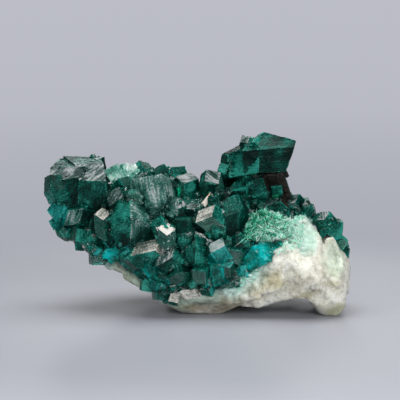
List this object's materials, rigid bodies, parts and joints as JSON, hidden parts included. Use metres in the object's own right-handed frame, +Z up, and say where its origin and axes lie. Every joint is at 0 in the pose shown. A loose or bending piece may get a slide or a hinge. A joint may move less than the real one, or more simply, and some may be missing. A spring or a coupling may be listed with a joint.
{
  "type": "dioptase specimen on calcite",
  "caption": "Natural cluster of emerald-green dioptase crystals with chrysocolla and a tuft of needles on a white calcite matrix, resting on its flat feet.",
  "frame": {"origin": "under the middle of the specimen, on the plane it rests on", "axes": "+X along the specimen's length, to the right in its best view; -Y towards that view's observer; +Z up"},
  "size_m": [0.0606, 0.031, 0.0352],
  "materials": {
    "calcite": "cream-white translucent calcite, cleaved and granular",
    "dioptase": "deep emerald transparent crystal with glassy striated faces",
    "needles": "felt of fine silky pale-green needles",
    "chrysocolla": "waxy blue-green chrysocolla"
  },
  "bodies": {
    "root": {"calcite_matrix": "calcite", "calcite_flake": "calcite", "dioptase_main_crust": "dioptase", "dioptase_rim_cluster": "dioptase", "dioptase_back_cluster": "dioptase", "needle_tuft": "needles", "chrysocolla_seam_left": "chrysocolla", "chrysocolla_seam_lower": "chrysocolla", "chrysocolla_seam_middle": "chrysocolla", "chrysocolla_seam_right": "chrysocolla"}
  },
  "joints": []
}
